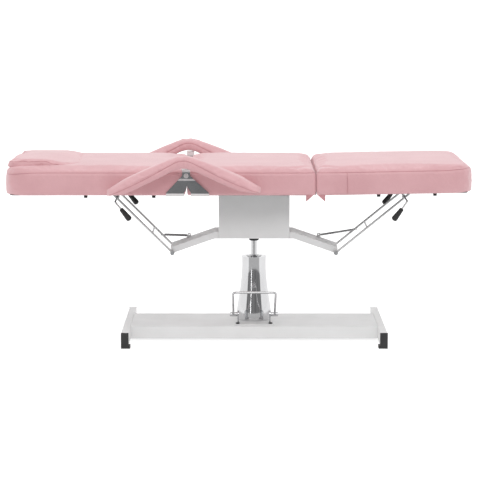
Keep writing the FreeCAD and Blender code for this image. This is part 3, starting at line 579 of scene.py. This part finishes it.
def shape_pad(piece, x0, x1, half, z0, z1, crown, seams, seed, sag, lift):
    """Crown the top, let the sides pull in at the seam and pucker, and press in any upright seams."""
    for vertex in piece.data.vertices:
        co = vertex.co
        u = (co.x - (x0 + x1) / 2) / ((x1 - x0) / 2)
        v = co.y / half
        seam_z = z1 + seam_level(co.x, co.y, x0, x1, half, sag, lift)
        top = max(0.0, min(1.0, (co.z - seam_z) / SEAM_DROP))
        dome = max(0.0, 1 - u ** 4) * max(0.0, 1 - v ** 4)
        ripple = noise.noise(Vector((co.x * 7 + seed, co.y * 9, 0.3))) * 0.0016
        co.z += top * (crown * dome + ripple)
        side = max(abs(u) ** 14, abs(v) ** 14)
        side = min(1.0, side)
        pucker = 1 + 0.6 * noise.noise(Vector((co.x * 38 + seed, co.y * 38, 4.0)))
        pinch = 0.0030 * gauss(co.z - seam_z, 0.005) * pucker
        belly = 0.0022 * math.sin(math.pi * max(0.0, min(1.0, (co.z - z0) / (seam_z - z0))))
        wave = 0.0011 * noise.noise(Vector((co.x * 11, co.y * 11 + seed, co.z * 16)))
        push = side * (belly + wave - pinch)
        for seam_x in seams:
            push -= side * 0.0012 * gauss(co.x - seam_x, 0.003)
        outward = Vector((u * abs(u) ** 12, v * abs(v) ** 12, 0))
        if outward.length > 1e-6:
            co += outward.normalized() * push
    piece.data.update()


def tilt_mesh(piece, pivot):
    turn = Matrix.Rotation(-LEG_TILT, 4, "Y")
    piece.data.transform(Matrix.Translation(pivot) @ turn @ Matrix.Translation(-pivot))


def cushion(name, body, node, span, radii, crown, seams=(), seed=1.0, tilt_at=None, sag=0.0, lift=0.0):
    """One upholstered section: cover, piping and stitching."""
    x0, x1 = span
    half = PAD_HALF
    z0 = BED_Z - 0.0015
    bm = pad_block(x0, x1, half, z0, TOP_Z - 0.002, *radii)
    piece = as_piece(name, bm, PINK, body)
    remesh(piece, 0.0075)
    seam_z = TOP_Z - SEAM_DROP

    def held(co):
        low = 1.0 if co.z < z0 + 0.02 else 0.0
        edge = max(abs(co.y) / half, abs((co.x - (x0 + x1) / 2) / ((x1 - x0) / 2)))
        rim = 0.9 * gauss(co.z - seam_z, 0.008) if edge > 0.95 else 0.0
        side = 0.55 if edge > 0.97 else 0.0
        return max(low, rim, side)

    stuff(piece, held, 3.0, 0.008)
    shape_pad(piece, x0, x1, half, z0, TOP_Z, crown, seams, seed, sag, lift)
    subdivide(piece)
    parts = [piece]
    flat_loop = smooth_points(even_points(level_loop(piece, seam_z - 0.012), 0.006), 2)
    loop = [
        Vector((p.x, p.y, TOP_Z + seam_level(p.x, p.y, x0, x1, half, sag, lift))) for p in flat_loop
    ]
    loop = onto(piece, loop)
    cord = tube_from_points(name + "_piping", loop, PIPING_R, PINK_TRIM_SHADED, body, True)
    parts.append(cord)
    for number, seam_x in enumerate(seams):
        for side in (-1, 1):
            run = []
            for i in range(13):
                out = half + 0.0012 + 0.002 * math.sin(math.pi * i / 12)
                run.append(Vector((seam_x, side * out, z0 + 0.006 + i * (seam_z - z0 - 0.008) / 12)))
            label = f"{name}_band_seam_{number}_{'near' if side < 0 else 'far'}"
            parts.append(tube_from_points(label, run, BAND_SEAM_R, PINK_TRIM_SHADED, body))
    if tilt_at:
        for part in parts:
            tilt_mesh(part, tilt_at)
    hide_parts(node)
    return piece


def make_cushions():
    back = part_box("backrest_cushion")
    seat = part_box("seat_cushion")
    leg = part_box("leg_rest_cushion")
    fold = Vector((seat[1].x + FOLD_GAP, 0, BED_Z))
    cushion(
        "backrest_cover", "backrest", "backrest_cushion", (back[0].x, back[1].x + COVER_EASE),
        (0.088, 0.014), 0.007, seed=3.0, sag=0.011,
    )
    cushion(
        "seat_cover", "carriage", "seat_cushion", (seat[0].x - COVER_EASE, seat[1].x + 0.001),
        (0.014, 0.012), 0.006, seed=11.0,
    )
    cushion(
        "leg_rest_cover", "leg_rest", "leg_rest_cushion", (seat[1].x + 0.0052, leg[1].x),
        (0.012, 0.085), 0.008, lift=0.008, seams=(seat[1].x + 0.122,), seed=23.0, tilt_at=fold,
    )


def pillow_rise(share, across):
    """The pillow's thickness: full at the head end, less at the tail and on the far side."""
    roll = smooth_step((share - 0.55 - 0.10 * across) / 0.40)
    far = smooth_step((across + 0.1) / 1.1)
    return (1.0 - 0.66 * roll) * (1 - 0.42 * far)


def make_pillow():
    low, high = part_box("pillow")
    length = high.x - low.x
    half = high.y
    bm = pad_block(low.x, high.x, half, low.z, high.z - 0.019, 0.035, 0.11, 0.009)
    piece = as_piece("pillow_cover", bm, PINK, "pillow")
    remesh(piece, 0.0055)
    for vertex in piece.data.vertices:
        co = vertex.co
        share = max(0.0, min(1.0, (co.x - low.x) / length))
        co.z = low.z + (co.z - low.z) * pillow_rise(share, co.y / half)
    stuff(piece, lambda co: 1.0 if co.z < low.z + 0.006 else 0.0, 5.0, 0.007, -0.02)
    for vertex in piece.data.vertices:
        co = vertex.co
        u = (co.x - (low.x + high.x) / 2) / (length / 2)
        v = co.y / half
        share = max(0.0, min(1.0, (u + 1) / 2))
        rise = max(0.0, (co.z - low.z) / (high.z - low.z))
        co.z += rise * 0.003 * max(0.0, 1 - u * u) * max(0.0, 1 - v ** 4)
        co.z += rise * 0.0016 * noise.noise(Vector((co.x * 16, co.y * 12, 7.0)))
        seam = low.z + pillow_seam(share)
        edge = min(1.0, max(abs(u), abs(v)) ** 16)
        outward = Vector((u * abs(u) ** 12, v * abs(v) ** 12, 0))
        if outward.length > 1e-6:
            pinch = 0.0034 * gauss(co.z - seam, 0.004) * (1 + 0.7 * noise.noise(co * 45))
            co -= outward.normalized() * pinch * edge
        co.z = max(co.z, low.z + 0.0002)
    subdivide(piece)
    flat_loop = smooth_points(even_points(level_loop(piece, low.z + 0.012), 0.005), 2)
    loop = []
    for point in flat_loop:
        share = max(0.0, min(1.0, (point.x - low.x) / length))
        loop.append(Vector((point.x, point.y, low.z + pillow_seam(share))))
    tube_from_points(
        "pillow_piping", onto(piece, loop), PIPING_R, PINK_TRIM_SHADED, "pillow", True,
    )
    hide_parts("pillow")


def pillow_seam(share):
    """The seam runs high at the head end and down to the underside at the tail."""
    return 0.029 - 0.025 * smooth_step((share - 0.48) / 0.32)


def onto(piece, points):
    """The points moved to the nearest place on the piece."""
    graph = bpy.context.evaluated_depsgraph_get()
    seen = piece.evaluated_get(graph)
    return [seen.closest_point_on_mesh(point)[1].copy() for point in points]


# ---------------------------------------------------------------- armrests

def arm_base_height(x, apex):
    """How far the armrest's underside lies below its apex."""
    run = x - apex
    slope = ARM_SLOPE_HEAD if run < 0 else ARM_SLOPE_FOOT
    reach = ARM_APEX_R * math.sin(slope)
    if abs(run) <= reach:
        return ARM_APEX_R - math.sqrt(ARM_APEX_R ** 2 - run ** 2)
    return ARM_APEX_R * (1 - math.cos(slope)) + (abs(run) - reach) * math.tan(slope)


def smooth_step(share):
    share = max(0.0, min(1.0, share))
    return share * share * (3 - 2 * share)


def arm_width(share):
    """The leaf's width, from the waist at the apex to the tip at 1."""
    if share < ARM_WIDEST_AT:
        return ARM_WAIST + (ARM_WIDEST - ARM_WAIST) * smooth_step(share / ARM_WIDEST_AT)
    left = (share - ARM_WIDEST_AT) / (1 - ARM_WIDEST_AT)
    return ARM_WIDEST * math.sqrt(max(0.0, 1 - left ** 2.6)) * 0.72 + ARM_WIDEST * 0.28 * (1 - 0.55 * left)


def armrest(side, name):
    pad = "armrest_pad_" + name
    plank = "armrest_board_" + name
    low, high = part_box(pad)
    apex = (low.x + high.x) / 2 - 0.008
    reach = (high.x - low.x) / 2
    base_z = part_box(plank)[1].z - 0.005
    thick = high.z - base_z - 0.007
    inner = min(abs(low.y), abs(high.y))
    bm = bmesh.new()
    bmesh.ops.create_cube(bm, size=2.0)
    along = [e for e in bm.edges if abs(e.verts[0].co.x - e.verts[1].co.x) > 1]
    bmesh.ops.subdivide_edges(bm, edges=along, cuts=63, use_grid_fill=True)
    across = [e for e in bm.edges if abs(e.verts[0].co.y - e.verts[1].co.y) > 1]
    bmesh.ops.subdivide_edges(bm, edges=across, cuts=11, use_grid_fill=True)
    upright = [e for e in bm.edges if abs(e.verts[0].co.z - e.verts[1].co.z) > 1]
    bmesh.ops.subdivide_edges(bm, edges=upright, cuts=5, use_grid_fill=True)
    for vertex in bm.verts:
        u, v, w = vertex.co
        share = abs(u)
        width = arm_width(share)
        tip = smooth_step((share - 0.70) / 0.30)
        rise = ARM_TIP_RISE * tip
        height = thick - rise - 0.008 * tip
        corner = max(0.0, abs(v) - 0.55) / 0.45
        crown = ARM_CROWN * max(0.0, w) * (1 - v * v) * smooth_step(0.35 + share)
        y = inner + width * (v + 1) / 2 + 0.002 * (1 - abs(w)) * v
        z = base_z - arm_base_height(apex + u * reach, apex) + rise + (w + 1) / 2 * height + crown
        z -= 0.007 * corner * corner * max(0.0, w)
        vertex.co = (apex + u * reach, side * y, z)
    bmesh.ops.recalc_face_normals(bm, faces=bm.faces)
    piece = as_piece("armrest_cover_" + name, bm, PINK, "carriage")
    remesh(piece, 0.0045)

    def held(co):
        rise = co.z - (base_z - arm_base_height(co.x, apex))
        return 1.0 if rise < 0.012 else 0.0

    stuff(piece, held, 4.0, 0.004, -0.015)
    groove_arm(piece, apex, base_z, thick, side)
    subdivide(piece)
    arm_piping(piece, name, apex, base_z, thick, side, inner)
    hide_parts(pad, plank)


def arm_seam_rise(x, apex, reach, thick):
    share = min(1.0, abs(x - apex) / reach)
    return thick - SEAM_DROP * (0.75 + 0.7 * smooth_step(share / 0.6))


def groove_arm(piece, apex, base_z, thick, side):
    """Pinch the cover along its long seams and across the apex, and pucker it beside them."""
    reach = max(abs(v.co.x - apex) for v in piece.data.vertices)
    piece.data.update()
    normals = [v.normal.copy() for v in piece.data.vertices]
    for vertex, normal in zip(piece.data.vertices, normals):
        co = vertex.co
        rise = co.z - (base_z - arm_base_height(co.x, apex))
        seam = arm_seam_rise(co.x, apex, reach, thick)
        pucker = 1 + 0.8 * noise.noise(Vector((co.x * 60, co.y * 20, side * 3.0)))
        flat = abs(normal.y)
        dip = 0.0024 * gauss(rise - seam, 0.0035) * flat * pucker
        dip += 0.0016 * gauss(co.x - apex, 0.0022) * flat * (1.0 if rise < seam else 0.0)
        fold = 0.0012 * gauss(co.x - apex, 0.05) * math.sin((co.x - apex) * 190) * max(0.0, normal.z)
        wave = 0.0009 * noise.noise(Vector((co.x * 18, co.y * 18, co.z * 18)))
        vertex.co = co + normal * (wave - dip + fold)


def arm_piping(piece, name, apex, base_z, thick, side, inner):
    """Piping along both long seams, laid on the cover by a ray from each side."""
    graph = bpy.context.evaluated_depsgraph_get()
    seen = piece.evaluated_get(graph)
    reach = max(abs(v.co.x - apex) for v in piece.data.vertices)
    for edge, label in ((1, "outer"), (-1, "inner")):
        points = []
        for i in range(-60, 61):
            x = apex + reach * 0.965 * i / 60
            z = base_z - arm_base_height(x, apex) + arm_seam_rise(x, apex, reach, thick)
            start = Vector((x, side * (inner + ARM_WAIST / 2 + edge * 0.2), z))
            hit, spot, normal, face = seen.ray_cast(start, Vector((0, -side * edge, 0)))
            if hit:
                points.append(spot.copy())
        tube_from_points(
            f"armrest_piping_{name}_{label}", points, PIPING_R, PINK_TRIM_SHADED, "carriage",
        )


# ---------------------------------------------------------------- trim and hardware

def spun(name, profile, axis_a, axis_b, material, body, steps=32):
    """A profile of (distance along, radius) spun round the line from a to b."""
    bm = bmesh.new()
    along = (axis_b - axis_a)
    length = along.length
    verts = [bm.verts.new((r, 0, t * length)) for t, r in profile]
    edges = [bm.edges.new(pair) for pair in zip(verts, verts[1:])]
    bmesh.ops.spin(
        bm, geom=verts + edges, cent=(0, 0, 0), axis=(0, 0, 1), angle=math.tau, steps=steps, use_merge=True,
    )
    bmesh.ops.remove_doubles(bm, verts=bm.verts, dist=1e-5)
    bmesh.ops.recalc_face_normals(bm, faces=bm.faces)
    turn = along.to_track_quat("Z", "Y").to_matrix().to_4x4()
    bm.transform(Matrix.Translation(axis_a) @ turn)
    return as_piece(name, bm, material, body)


def grip_profile():
    """A tapered grip: soft collar, shallow rings, full round end."""
    profile = [(0.0, 0.0), (0.0, GRIP_NECK_R), (0.03, GRIP_COLLAR_R)]
    for i in range(21):
        t = 0.06 + 0.74 * i / 20
        r = GRIP_R + GRIP_SWELL * t + (GRIP_RING if i % 2 else 0.0)
        profile.append((t, r))
    for i in range(1, 9):
        angle = math.pi / 2 * i / 8
        r = GRIP_END_R * math.cos(angle) if i < 8 else 0.0
        profile.append((0.82 + 0.18 * math.sin(angle), r))
    return profile


def make_grips():
    for end, way in (("head", 1), ("foot", -1)):
        for name in ("near", "far"):
            node = f"release_grip_{end}_{name}"
            low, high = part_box(node)
            middle = (low.y + high.y) / 2
            start_x = (low.x if way > 0 else high.x) + way * GRIP_MARGIN * 0.7
            stop_x = (high.x if way > 0 else low.x) - way * GRIP_MARGIN * 0.3
            start = Vector((start_x, middle, high.z - GRIP_MARGIN * 0.5))
            stop = Vector((stop_x, middle, low.z + GRIP_MARGIN * 0.1))
            label = f"grip_{end}_{name}"
            grip = spun(label, grip_profile(), start, stop, RUBBER, "release_" + end)
            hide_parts(node)


def coil_points(start, stop, radius, turns, per_turn=14):
    """The wire's line: a hook, close turns, and a hook."""
    along = stop - start
    length = along.length
    way = along.normalized()
    up = way.cross(Vector((0, 1, 0))).normalized()
    across = way.cross(up).normalized()
    hook = SPRING_HOOK
    points = []
    for i in range(8):
        points.append(start + way * (hook * i / 8))
    total = turns * per_turn
    for i in range(total + 1):
        angle = math.tau * i / per_turn
        t = hook + (length - 2 * hook) * i / total
        points.append(start + way * t + (up * math.cos(angle) + across * math.sin(angle)) * radius)
    for i in range(8):
        points.append(stop - way * (hook * (7 - i) / 8))
    return points


def make_springs():
    for end, way in (("head", -1), ("foot", 1)):
        node = "spring_" + end
        low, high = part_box(node)
        y = (low.y + high.y) / 2
        strut_side = Vector((low.x if way < 0 else high.x, y, high.z - 0.005))
        eye_side = Vector((high.x if way < 0 else low.x, y, low.z + 0.003))
        reach = (strut_side - eye_side).normalized()
        extra = reach * SPRING_OVERRUN
        points = coil_points(eye_side - extra, strut_side + extra, SPRING_COIL_R, SPRING_TURNS)
        piece = tube_from_points(node + "_coil", points, SPRING_WIRE_R, GREY_SPRING, None, False, 2)
        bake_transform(piece)
        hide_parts(node)


def make_undersides():
    """Lining cloth stapled under each board."""
    for name, body, tilted in (
        ("backrest", "backrest", False), ("seat", "carriage", False), ("leg_rest", "leg_rest", True),
    ):
        low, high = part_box(name + "_board")
        z = BED_Z - LINING_DROP
        bm = bmesh.new()
        bmesh.ops.create_grid(bm, x_segments=24, y_segments=24, size=0.5)
        width = high.y - low.y - LINING_INSET * 2
        length = high.x - low.x - LINING_INSET * 2
        bmesh.ops.scale(bm, vec=(length, width, 1), verts=bm.verts)
        bmesh.ops.translate(bm, vec=((low.x + high.x) / 2, 0, z), verts=bm.verts)
        corners = [v for v in bm.verts if len(v.link_edges) == 2]
        bmesh.ops.bevel(
            bm, geom=corners, offset=LINING_CORNER, segments=6, affect="VERTICES", profile=0.5, material=-1,
        )
        for vertex in bm.verts:
            vertex.co.z += 0.0004 * noise.noise(vertex.co * 14)
        bmesh.ops.reverse_faces(bm, faces=[f for f in bm.faces if f.normal.z > 0])
        cloth = as_piece(name + "_lining", bm, LINING, body)
        if tilted:
            tilt_mesh(cloth, Vector((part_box("seat_cushion")[1].x + FOLD_GAP, 0, BED_Z)))


def corner_tab(label, body, x, way, side):
    """A leather ear left where the cover is gathered under the board's corner."""
    bm = bmesh.new()
    bmesh.ops.create_grid(bm, x_segments=8, y_segments=8, size=0.5)
    for vertex in bm.verts:
        along = vertex.co.x + 0.5
        down = (vertex.co.y + 0.5) * along
        curl = 0.004 * math.sin(along * 2.6) - 0.006 * down
        reach = TAB_LENGTH * along
        vertex.co = (
            x + way * reach, side * (PAD_HALF - 0.006 + curl), BED_Z + 0.001 - TAB_DEPTH * down,
        )
    bmesh.ops.remove_doubles(bm, verts=bm.verts, dist=0.0004)
    bmesh.ops.recalc_face_normals(bm, faces=bm.faces)
    bmesh.ops.solidify(bm, geom=bm.faces[:], thickness=TAB_LEATHER)
    bmesh.ops.recalc_face_normals(bm, faces=bm.faces)
    # The tab takes the darker pink: painted shade under the board.
    piece = as_piece(label, bm, PINK_TRIM_SHADED, body)


def make_tabs():
    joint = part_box("seat_cushion")[1].x
    for side, name in ((-1, "near"), (1, "far")):
        corner_tab("seat_corner_tab_" + name, "carriage", joint - 0.006, -1, side)
        corner_tab("leg_corner_tab_" + name, "leg_rest", joint + 0.008, 1, side)


# ---------------------------------------------------------------- camera, floor and light

def make_camera():
    data = bpy.data.cameras.new("view")
    data.lens = LENS_MM
    data.sensor_width = 36.0
    data.clip_end = 60.0
    camera = bpy.data.objects.new("view", data)
    camera.location = (CAMERA_X, -CAMERA_DISTANCE, CAMERA_HEIGHT)
    camera.rotation_euler = (math.pi / 2 - CAMERA_PITCH, 0, 0)
    bpy.context.scene.collection.objects.link(camera)
    bpy.context.scene.camera = camera


def make_floor():
    """A white floor that ends a little in front of the bed, darker there in mirrors only."""
    bm = bmesh.new()
    bmesh.ops.create_grid(bm, x_segments=1, y_segments=1, size=1.0)
    bmesh.ops.scale(bm, vec=(*FLOOR_HALF, 1.0), verts=bm.verts)
    bmesh.ops.translate(bm, vec=(0, FLOOR_HALF[1] - FLOOR_FRONT, 0), verts=bm.verts)
    mesh = bpy.data.meshes.new("floor")
    bm.to_mesh(mesh)
    bm.free()
    material = bpy.data.materials.new("pale_floor")
    material.use_nodes = True
    shader = material.node_tree.nodes["Principled BSDF"]
    tree = material.node_tree
    seen = tree.nodes.new("ShaderNodeLightPath")
    place = tree.nodes.new("ShaderNodeSeparateXYZ")
    tree.links.new(tree.nodes.new("ShaderNodeTexCoord").outputs["Object"], place.inputs[0])
    pump_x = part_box("pump_plate")[0].x + PUMP_CENTRE
    sideways = maths(tree, "ABSOLUTE", maths(tree, "SUBTRACT", place.outputs["X"], pump_x))
    ahead = maths(tree, "MULTIPLY", place.outputs["Y"], -MIRRORED_SPREAD)
    front = spread(tree, maths(tree, "SUBTRACT", ahead, sideways), 0.0, 0.2, 0.0, 1.0)
    mirrored = maths(tree, "MULTIPLY", seen.outputs["Is Glossy Ray"], front)
    base = mix_colour(tree, mirrored, (0.75, 0.75, 0.75), (0.26, 0.26, 0.26))
    tree.links.new(base, shader.inputs["Base Color"])
    shader.inputs["Roughness"].default_value = 0.9
    shader.inputs["Specular IOR Level"].default_value = 0.1
    shader.inputs["Emission Color"].default_value = (1, 1, 1, 1)
    plain = maths(tree, "SUBTRACT", seen.outputs["Is Glossy Ray"], mirrored)
    shown = maths(tree, "MULTIPLY", seen.outputs["Is Camera Ray"], FLOOR_GLOW_SEEN)
    glow = maths(tree, "ADD", shown, FLOOR_GLOW)
    glow = maths(tree, "ADD", glow, maths(tree, "MULTIPLY", plain, FLOOR_GLOW_MIRRORED))
    tree.links.new(glow, shader.inputs["Emission Strength"])
    mesh.materials.append(material)
    floor = bpy.data.objects.new("floor", mesh)
    bpy.context.scene.collection.objects.link(floor)


def soft_light(name, place, aim, size, power):
    data = bpy.data.lights.new(name, "AREA")
    data.shape = "RECTANGLE"
    data.size, data.size_y = size
    data.energy = power
    lamp = bpy.data.objects.new(name, data)
    lamp.location = place
    lamp.rotation_euler = (Vector(aim) - Vector(place)).to_track_quat("-Z", "Y").to_euler()
    bpy.context.scene.collection.objects.link(lamp)


def make_light():
    """A white room with a dark side in front, which bright metal shows as dark bands."""
    world = bpy.data.worlds.new("white_room")
    bpy.context.scene.world = world
    world.use_nodes = True
    tree = world.node_tree
    place = tree.nodes.new("ShaderNodeTexCoord").outputs["Generated"]
    parts = tree.nodes.new("ShaderNodeSeparateXYZ")
    tree.links.new(place, parts.inputs[0])
    front = spread(tree, maths(tree, "MULTIPLY", parts.outputs["Y"], -1.0), 0.54, 0.60, 0.0, 1.0)
    low = spread(tree, parts.outputs["Z"], 0.30, 0.42, 1.0, 0.0)
    streak = noise_field(tree, maths(tree, "MULTIPLY", parts.outputs["X"], 6.0), 1.2, 2.0)
    streak = spread(tree, streak, 0.3, 0.7, 0.0, 1.0)
    dark = mix_colour(tree, streak, (0.11, 0.11, 0.112), (0.30, 0.30, 0.305))
    unseen = maths(tree, "SUBTRACT", 1.0, tree.nodes.new("ShaderNodeLightPath").outputs["Is Camera Ray"])
    shade = maths(tree, "MULTIPLY", maths(tree, "MULTIPLY", front, low), unseen)
    tone = mix_colour(tree, shade, (1.0, 1.0, 1.0), dark)
    tree.links.new(tone, tree.nodes["Background"].inputs["Color"])
    tree.nodes["Background"].inputs["Strength"].default_value = WORLD_STRENGTH
    soft_light("top_softbox", (0.2, -0.9, 3.2), (0, 0, 0.5), (3.0, 2.0), TOP_POWER)
    soft_light("front_softbox", (0.3, -4.2, 2.7), (0, 0, 0.4), (3.0, 1.0), FRONT_POWER)
    soft_light("strip_light", (-1.9, -4.6, 0.8), (0, 0, 0.3), (0.16, 2.2), STRIP_POWER)
    bpy.context.scene.view_settings.view_transform = "Standard"


# ---------------------------------------------------------------- the bed

make_camera()
make_floor()
make_light()
dress_nodes()
make_cushions()
make_pillow()
for side, name in ((-1, "near"), (1, "far")):
    armrest(side, name)
make_grips()
make_springs()
make_undersides()
make_tabs()
